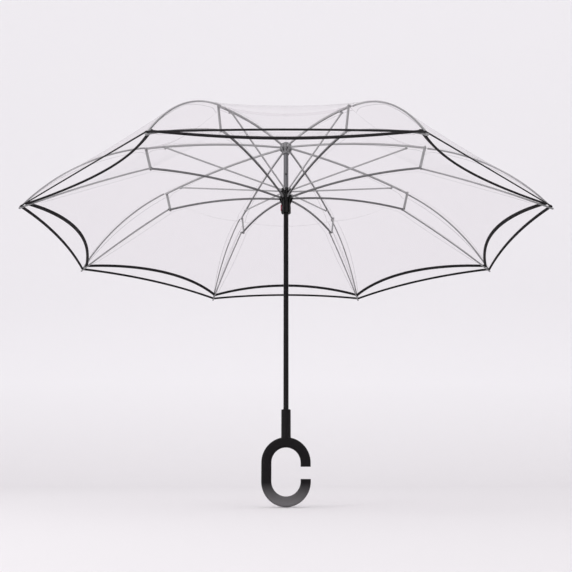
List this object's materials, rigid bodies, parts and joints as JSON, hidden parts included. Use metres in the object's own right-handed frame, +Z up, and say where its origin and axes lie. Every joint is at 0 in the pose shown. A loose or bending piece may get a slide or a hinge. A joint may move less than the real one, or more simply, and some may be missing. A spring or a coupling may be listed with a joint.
{
  "type": "reverse-folding umbrella",
  "caption": "Open reverse-folding umbrella with two clear film layers, double ribs that a sliding runner folds upwards, and a C-shaped handle.",
  "frame": {"origin": "middle of the handle's stem, on the shaft's axis", "axes": "+Z up along the shaft to the crown, +X towards the gap in the C handle, -Y the side that the picture is taken from"},
  "size_m": [0.9844, 0.9844, 0.7672],
  "materials": {
    "handle": "soft-touch matte black plastic",
    "shaft_black": "gloss black enamelled steel tube",
    "shaft_steel": "plated steel tube",
    "crown_nylon": "grey moulded nylon",
    "hub_plastic": "moulded black nylon",
    "pin_steel": "plated steel wire",
    "button": "dark red moulded plastic",
    "rib_steel": "grey enamelled steel channel",
    "rod": "grey glass-fibre rod",
    "film": "clear glossy polymer film",
    "binding": "black woven edge tape"
  },
  "bodies": {
    "root": {"handle": "handle", "lower_shaft": "shaft_black", "upper_shaft": "shaft_steel", "stop_pin": "hub_plastic", "crown": "crown_nylon", "crown_pins": "pin_steel", "crown_cap": "crown_nylon", "upper_film": "film", "upper_binding": "binding"},
    "runner": {"runner": "hub_plastic", "runner_pins": "pin_steel", "button_spring": "pin_steel", "lower_film": "film", "lower_binding": "binding"},
    "button": {"runner_button": "button"},
    "strut_1": {"top_strut_1": "rib_steel"},
    "brace_1": {"brace_1": "rib_steel"},
    "link_1": {"link_1": "rib_steel"},
    "rib_1": {"lower_rib_1": "rib_steel"},
    "rods_1": {"outer_rods_1": "rod"},
    "strut_2": {"top_strut_2": "rib_steel"},
    "brace_2": {"brace_2": "rib_steel"},
    "link_2": {"link_2": "rib_steel"},
    "rib_2": {"lower_rib_2": "rib_steel"},
    "rods_2": {"outer_rods_2": "rod"},
    "strut_3": {"top_strut_3": "rib_steel"},
    "brace_3": {"brace_3": "rib_steel"},
    "link_3": {"link_3": "rib_steel"},
    "rib_3": {"lower_rib_3": "rib_steel"},
    "rods_3": {"outer_rods_3": "rod"},
    "strut_4": {"top_strut_4": "rib_steel"},
    "brace_4": {"brace_4": "rib_steel"},
    "link_4": {"link_4": "rib_steel"},
    "rib_4": {"lower_rib_4": "rib_steel"},
    "rods_4": {"outer_rods_4": "rod"},
    "strut_5": {"top_strut_5": "rib_steel"},
    "brace_5": {"brace_5": "rib_steel"},
    "link_5": {"link_5": "rib_steel"},
    "rib_5": {"lower_rib_5": "rib_steel"},
    "rods_5": {"outer_rods_5": "rod"},
    "strut_6": {"top_strut_6": "rib_steel"},
    "brace_6": {"brace_6": "rib_steel"},
    "link_6": {"link_6": "rib_steel"},
    "rib_6": {"lower_rib_6": "rib_steel"},
    "rods_6": {"outer_rods_6": "rod"},
    "strut_7": {"top_strut_7": "rib_steel"},
    "brace_7": {"brace_7": "rib_steel"},
    "link_7": {"link_7": "rib_steel"},
    "rib_7": {"lower_rib_7": "rib_steel"},
    "rods_7": {"outer_rods_7": "rod"},
    "strut_8": {"top_strut_8": "rib_steel"},
    "brace_8": {"brace_8": "rib_steel"},
    "link_8": {"link_8": "rib_steel"},
    "rib_8": {"lower_rib_8": "rib_steel"},
    "rods_8": {"outer_rods_8": "rod"}
  },
  "joints": [
    {"name": "runner_slide", "type": "slide", "parent": "root", "child": "runner", "axis": [0, 0, 1], "range_m": [-0.412, 0], "deforming": ["upper_film", "upper_binding", "lower_film", "lower_binding"]},
    {"name": "button_press", "type": "slide", "parent": "runner", "child": "button", "axis": [1, 0, 0], "range_m": [0, 0.0014], "stiffness_N_per_m": 600, "deforming": ["button_spring"]},
    {"name": "strut_hinge_1", "type": "hinge", "parent": "root", "child": "strut_1", "pos_m": [0.00878, 0.00364, 0.5965], "axis": [0.3827, -0.9239, 0], "range_deg": [-67.88, 0]},
    {"name": "brace_hinge_1", "type": "hinge", "parent": "strut_1", "child": "brace_1", "pos_m": [0.24578, 0.10181, 0.54575], "axis": [0.3827, -0.9239, 0], "range_deg": [0, 135.75]},
    {"name": "link_hinge_1", "type": "hinge", "parent": "strut_1", "child": "link_1", "pos_m": [0.28167, 0.11667, 0.53807], "axis": [0.3827, -0.9239, 0], "range_deg": [0, 225.36]},
    {"name": "rib_hinge_1", "type": "hinge", "parent": "link_1", "child": "rib_1", "pos_m": [0.27081, 0.11217, 0.49597], "axis": [0.3827, -0.9239, 0], "range_deg": [-87.92, 0]},
    {"name": "rod_hinge_1", "type": "hinge", "parent": "rib_1", "child": "rods_1", "pos_m": [0.27081, 0.11217, 0.49597], "axis": [0.3827, -0.9239, 0], "range_deg": [0, 44.68]},
    {"name": "strut_hinge_2", "type": "hinge", "parent": "root", "child": "strut_2", "pos_m": [0.00364, 0.00878, 0.5965], "axis": [0.9239, -0.3827, 0], "range_deg": [-67.88, 0]},
    {"name": "brace_hinge_2", "type": "hinge", "parent": "strut_2", "child": "brace_2", "pos_m": [0.10181, 0.24578, 0.54575], "axis": [0.9239, -0.3827, 0], "range_deg": [0, 135.75]},
    {"name": "link_hinge_2", "type": "hinge", "parent": "strut_2", "child": "link_2", "pos_m": [0.11667, 0.28167, 0.53807], "axis": [0.9239, -0.3827, 0], "range_deg": [0, 225.36]},
    {"name": "rib_hinge_2", "type": "hinge", "parent": "link_2", "child": "rib_2", "pos_m": [0.11217, 0.27081, 0.49597], "axis": [0.9239, -0.3827, 0], "range_deg": [-87.92, 0]},
    {"name": "rod_hinge_2", "type": "hinge", "parent": "rib_2", "child": "rods_2", "pos_m": [0.11217, 0.27081, 0.49597], "axis": [0.9239, -0.3827, 0], "range_deg": [0, 44.68]},
    {"name": "strut_hinge_3", "type": "hinge", "parent": "root", "child": "strut_3", "pos_m": [-0.00364, 0.00878, 0.5965], "axis": [0.9239, 0.3827, 0], "range_deg": [-67.88, 0]},
    {"name": "brace_hinge_3", "type": "hinge", "parent": "strut_3", "child": "brace_3", "pos_m": [-0.10181, 0.24578, 0.54575], "axis": [0.9239, 0.3827, 0], "range_deg": [0, 135.75]},
    {"name": "link_hinge_3", "type": "hinge", "parent": "strut_3", "child": "link_3", "pos_m": [-0.11667, 0.28167, 0.53807], "axis": [0.9239, 0.3827, 0], "range_deg": [0, 225.36]},
    {"name": "rib_hinge_3", "type": "hinge", "parent": "link_3", "child": "rib_3", "pos_m": [-0.11217, 0.27081, 0.49597], "axis": [0.9239, 0.3827, 0], "range_deg": [-87.92, 0]},
    {"name": "rod_hinge_3", "type": "hinge", "parent": "rib_3", "child": "rods_3", "pos_m": [-0.11217, 0.27081, 0.49597], "axis": [0.9239, 0.3827, 0], "range_deg": [0, 44.68]},
    {"name": "strut_hinge_4", "type": "hinge", "parent": "root", "child": "strut_4", "pos_m": [-0.00878, 0.00364, 0.5965], "axis": [0.3827, 0.9239, 0], "range_deg": [-67.88, 0]},
    {"name": "brace_hinge_4", "type": "hinge", "parent": "strut_4", "child": "brace_4", "pos_m": [-0.24578, 0.10181, 0.54575], "axis": [0.3827, 0.9239, 0], "range_deg": [0, 135.75]},
    {"name": "link_hinge_4", "type": "hinge", "parent": "strut_4", "child": "link_4", "pos_m": [-0.28167, 0.11667, 0.53807], "axis": [0.3827, 0.9239, 0], "range_deg": [0, 225.36]},
    {"name": "rib_hinge_4", "type": "hinge", "parent": "link_4", "child": "rib_4", "pos_m": [-0.27081, 0.11217, 0.49597], "axis": [0.3827, 0.9239, 0], "range_deg": [-87.92, 0]},
    {"name": "rod_hinge_4", "type": "hinge", "parent": "rib_4", "child": "rods_4", "pos_m": [-0.27081, 0.11217, 0.49597], "axis": [0.3827, 0.9239, 0], "range_deg": [0, 44.68]},
    {"name": "strut_hinge_5", "type": "hinge", "parent": "root", "child": "strut_5", "pos_m": [-0.00878, -0.00364, 0.5965], "axis": [-0.3827, 0.9239, 0], "range_deg": [-67.88, 0]},
    {"name": "brace_hinge_5", "type": "hinge", "parent": "strut_5", "child": "brace_5", "pos_m": [-0.24578, -0.10181, 0.54575], "axis": [-0.3827, 0.9239, 0], "range_deg": [0, 135.75]},
    {"name": "link_hinge_5", "type": "hinge", "parent": "strut_5", "child": "link_5", "pos_m": [-0.28167, -0.11667, 0.53807], "axis": [-0.3827, 0.9239, 0], "range_deg": [0, 225.36]},
    {"name": "rib_hinge_5", "type": "hinge", "parent": "link_5", "child": "rib_5", "pos_m": [-0.27081, -0.11217, 0.49597], "axis": [-0.3827, 0.9239, 0], "range_deg": [-87.92, 0]},
    {"name": "rod_hinge_5", "type": "hinge", "parent": "rib_5", "child": "rods_5", "pos_m": [-0.27081, -0.11217, 0.49597], "axis": [-0.3827, 0.9239, 0], "range_deg": [0, 44.68]},
    {"name": "strut_hinge_6", "type": "hinge", "parent": "root", "child": "strut_6", "pos_m": [-0.00364, -0.00878, 0.5965], "axis": [-0.9239, 0.3827, 0], "range_deg": [-67.88, 0]},
    {"name": "brace_hinge_6", "type": "hinge", "parent": "strut_6", "child": "brace_6", "pos_m": [-0.10181, -0.24578, 0.54575], "axis": [-0.9239, 0.3827, 0], "range_deg": [0, 135.75]},
    {"name": "link_hinge_6", "type": "hinge", "parent": "strut_6", "child": "link_6", "pos_m": [-0.11667, -0.28167, 0.53807], "axis": [-0.9239, 0.3827, 0], "range_deg": [0, 225.36]},
    {"name": "rib_hinge_6", "type": "hinge", "parent": "link_6", "child": "rib_6", "pos_m": [-0.11217, -0.27081, 0.49597], "axis": [-0.9239, 0.3827, 0], "range_deg": [-87.92, 0]},
    {"name": "rod_hinge_6", "type": "hinge", "parent": "rib_6", "child": "rods_6", "pos_m": [-0.11217, -0.27081, 0.49597], "axis": [-0.9239, 0.3827, 0], "range_deg": [0, 44.68]},
    {"name": "strut_hinge_7", "type": "hinge", "parent": "root", "child": "strut_7", "pos_m": [0.00364, -0.00878, 0.5965], "axis": [-0.9239, -0.3827, 0], "range_deg": [-67.88, 0]},
    {"name": "brace_hinge_7", "type": "hinge", "parent": "strut_7", "child": "brace_7", "pos_m": [0.10181, -0.24578, 0.54575], "axis": [-0.9239, -0.3827, 0], "range_deg": [0, 135.75]},
    {"name": "link_hinge_7", "type": "hinge", "parent": "strut_7", "child": "link_7", "pos_m": [0.11667, -0.28167, 0.53807], "axis": [-0.9239, -0.3827, 0], "range_deg": [0, 225.36]},
    {"name": "rib_hinge_7", "type": "hinge", "parent": "link_7", "child": "rib_7", "pos_m": [0.11217, -0.27081, 0.49597], "axis": [-0.9239, -0.3827, 0], "range_deg": [-87.92, 0]},
    {"name": "rod_hinge_7", "type": "hinge", "parent": "rib_7", "child": "rods_7", "pos_m": [0.11217, -0.27081, 0.49597], "axis": [-0.9239, -0.3827, 0], "range_deg": [0, 44.68]},
    {"name": "strut_hinge_8", "type": "hinge", "parent": "root", "child": "strut_8", "pos_m": [0.00878, -0.00364, 0.5965], "axis": [-0.3827, -0.9239, 0], "range_deg": [-67.88, 0]},
    {"name": "brace_hinge_8", "type": "hinge", "parent": "strut_8", "child": "brace_8", "pos_m": [0.24578, -0.10181, 0.54575], "axis": [-0.3827, -0.9239, 0], "range_deg": [0, 135.75]},
    {"name": "link_hinge_8", "type": "hinge", "parent": "strut_8", "child": "link_8", "pos_m": [0.28167, -0.11667, 0.53807], "axis": [-0.3827, -0.9239, 0], "range_deg": [0, 225.36]},
    {"name": "rib_hinge_8", "type": "hinge", "parent": "link_8", "child": "rib_8", "pos_m": [0.27081, -0.11217, 0.49597], "axis": [-0.3827, -0.9239, 0], "range_deg": [-87.92, 0]},
    {"name": "rod_hinge_8", "type": "hinge", "parent": "rib_8", "child": "rods_8", "pos_m": [0.27081, -0.11217, 0.49597], "axis": [-0.3827, -0.9239, 0], "range_deg": [0, 44.68]}
  ],
  "couplings": [
    {"joint": "strut_hinge_1", "follows": "runner_slide", "rad_per_m": 2.8752},
    {"joint": "brace_hinge_1", "follows": "runner_slide", "rad_per_m": -5.7505},
    {"joint": "link_hinge_1", "follows": "runner_slide", "rad_per_m": -9.5465},
    {"joint": "rib_hinge_1", "follows": "runner_slide", "rad_per_m": 3.724},
    {"joint": "rod_hinge_1", "follows": "runner_slide", "rad_per_m": -1.8925},
    {"joint": "strut_hinge_2", "follows": "runner_slide", "rad_per_m": 2.8752},
    {"joint": "brace_hinge_2", "follows": "runner_slide", "rad_per_m": -5.7505},
    {"joint": "link_hinge_2", "follows": "runner_slide", "rad_per_m": -9.5465},
    {"joint": "rib_hinge_2", "follows": "runner_slide", "rad_per_m": 3.724},
    {"joint": "rod_hinge_2", "follows": "runner_slide", "rad_per_m": -1.8925},
    {"joint": "strut_hinge_3", "follows": "runner_slide", "rad_per_m": 2.8752},
    {"joint": "brace_hinge_3", "follows": "runner_slide", "rad_per_m": -5.7505},
    {"joint": "link_hinge_3", "follows": "runner_slide", "rad_per_m": -9.5465},
    {"joint": "rib_hinge_3", "follows": "runner_slide", "rad_per_m": 3.724},
    {"joint": "rod_hinge_3", "follows": "runner_slide", "rad_per_m": -1.8925},
    {"joint": "strut_hinge_4", "follows": "runner_slide", "rad_per_m": 2.8752},
    {"joint": "brace_hinge_4", "follows": "runner_slide", "rad_per_m": -5.7505},
    {"joint": "link_hinge_4", "follows": "runner_slide", "rad_per_m": -9.5465},
    {"joint": "rib_hinge_4", "follows": "runner_slide", "rad_per_m": 3.724},
    {"joint": "rod_hinge_4", "follows": "runner_slide", "rad_per_m": -1.8925},
    {"joint": "strut_hinge_5", "follows": "runner_slide", "rad_per_m": 2.8752},
    {"joint": "brace_hinge_5", "follows": "runner_slide", "rad_per_m": -5.7505},
    {"joint": "link_hinge_5", "follows": "runner_slide", "rad_per_m": -9.5465},
    {"joint": "rib_hinge_5", "follows": "runner_slide", "rad_per_m": 3.724},
    {"joint": "rod_hinge_5", "follows": "runner_slide", "rad_per_m": -1.8925},
    {"joint": "strut_hinge_6", "follows": "runner_slide", "rad_per_m": 2.8752},
    {"joint": "brace_hinge_6", "follows": "runner_slide", "rad_per_m": -5.7505},
    {"joint": "link_hinge_6", "follows": "runner_slide", "rad_per_m": -9.5465},
    {"joint": "rib_hinge_6", "follows": "runner_slide", "rad_per_m": 3.724},
    {"joint": "rod_hinge_6", "follows": "runner_slide", "rad_per_m": -1.8925},
    {"joint": "strut_hinge_7", "follows": "runner_slide", "rad_per_m": 2.8752},
    {"joint": "brace_hinge_7", "follows": "runner_slide", "rad_per_m": -5.7505},
    {"joint": "link_hinge_7", "follows": "runner_slide", "rad_per_m": -9.5465},
    {"joint": "rib_hinge_7", "follows": "runner_slide", "rad_per_m": 3.724},
    {"joint": "rod_hinge_7", "follows": "runner_slide", "rad_per_m": -1.8925},
    {"joint": "strut_hinge_8", "follows": "runner_slide", "rad_per_m": 2.8752},
    {"joint": "brace_hinge_8", "follows": "runner_slide", "rad_per_m": -5.7505},
    {"joint": "link_hinge_8", "follows": "runner_slide", "rad_per_m": -9.5465},
    {"joint": "rib_hinge_8", "follows": "runner_slide", "rad_per_m": 3.724},
    {"joint": "rod_hinge_8", "follows": "runner_slide", "rad_per_m": -1.8925}
  ]
}
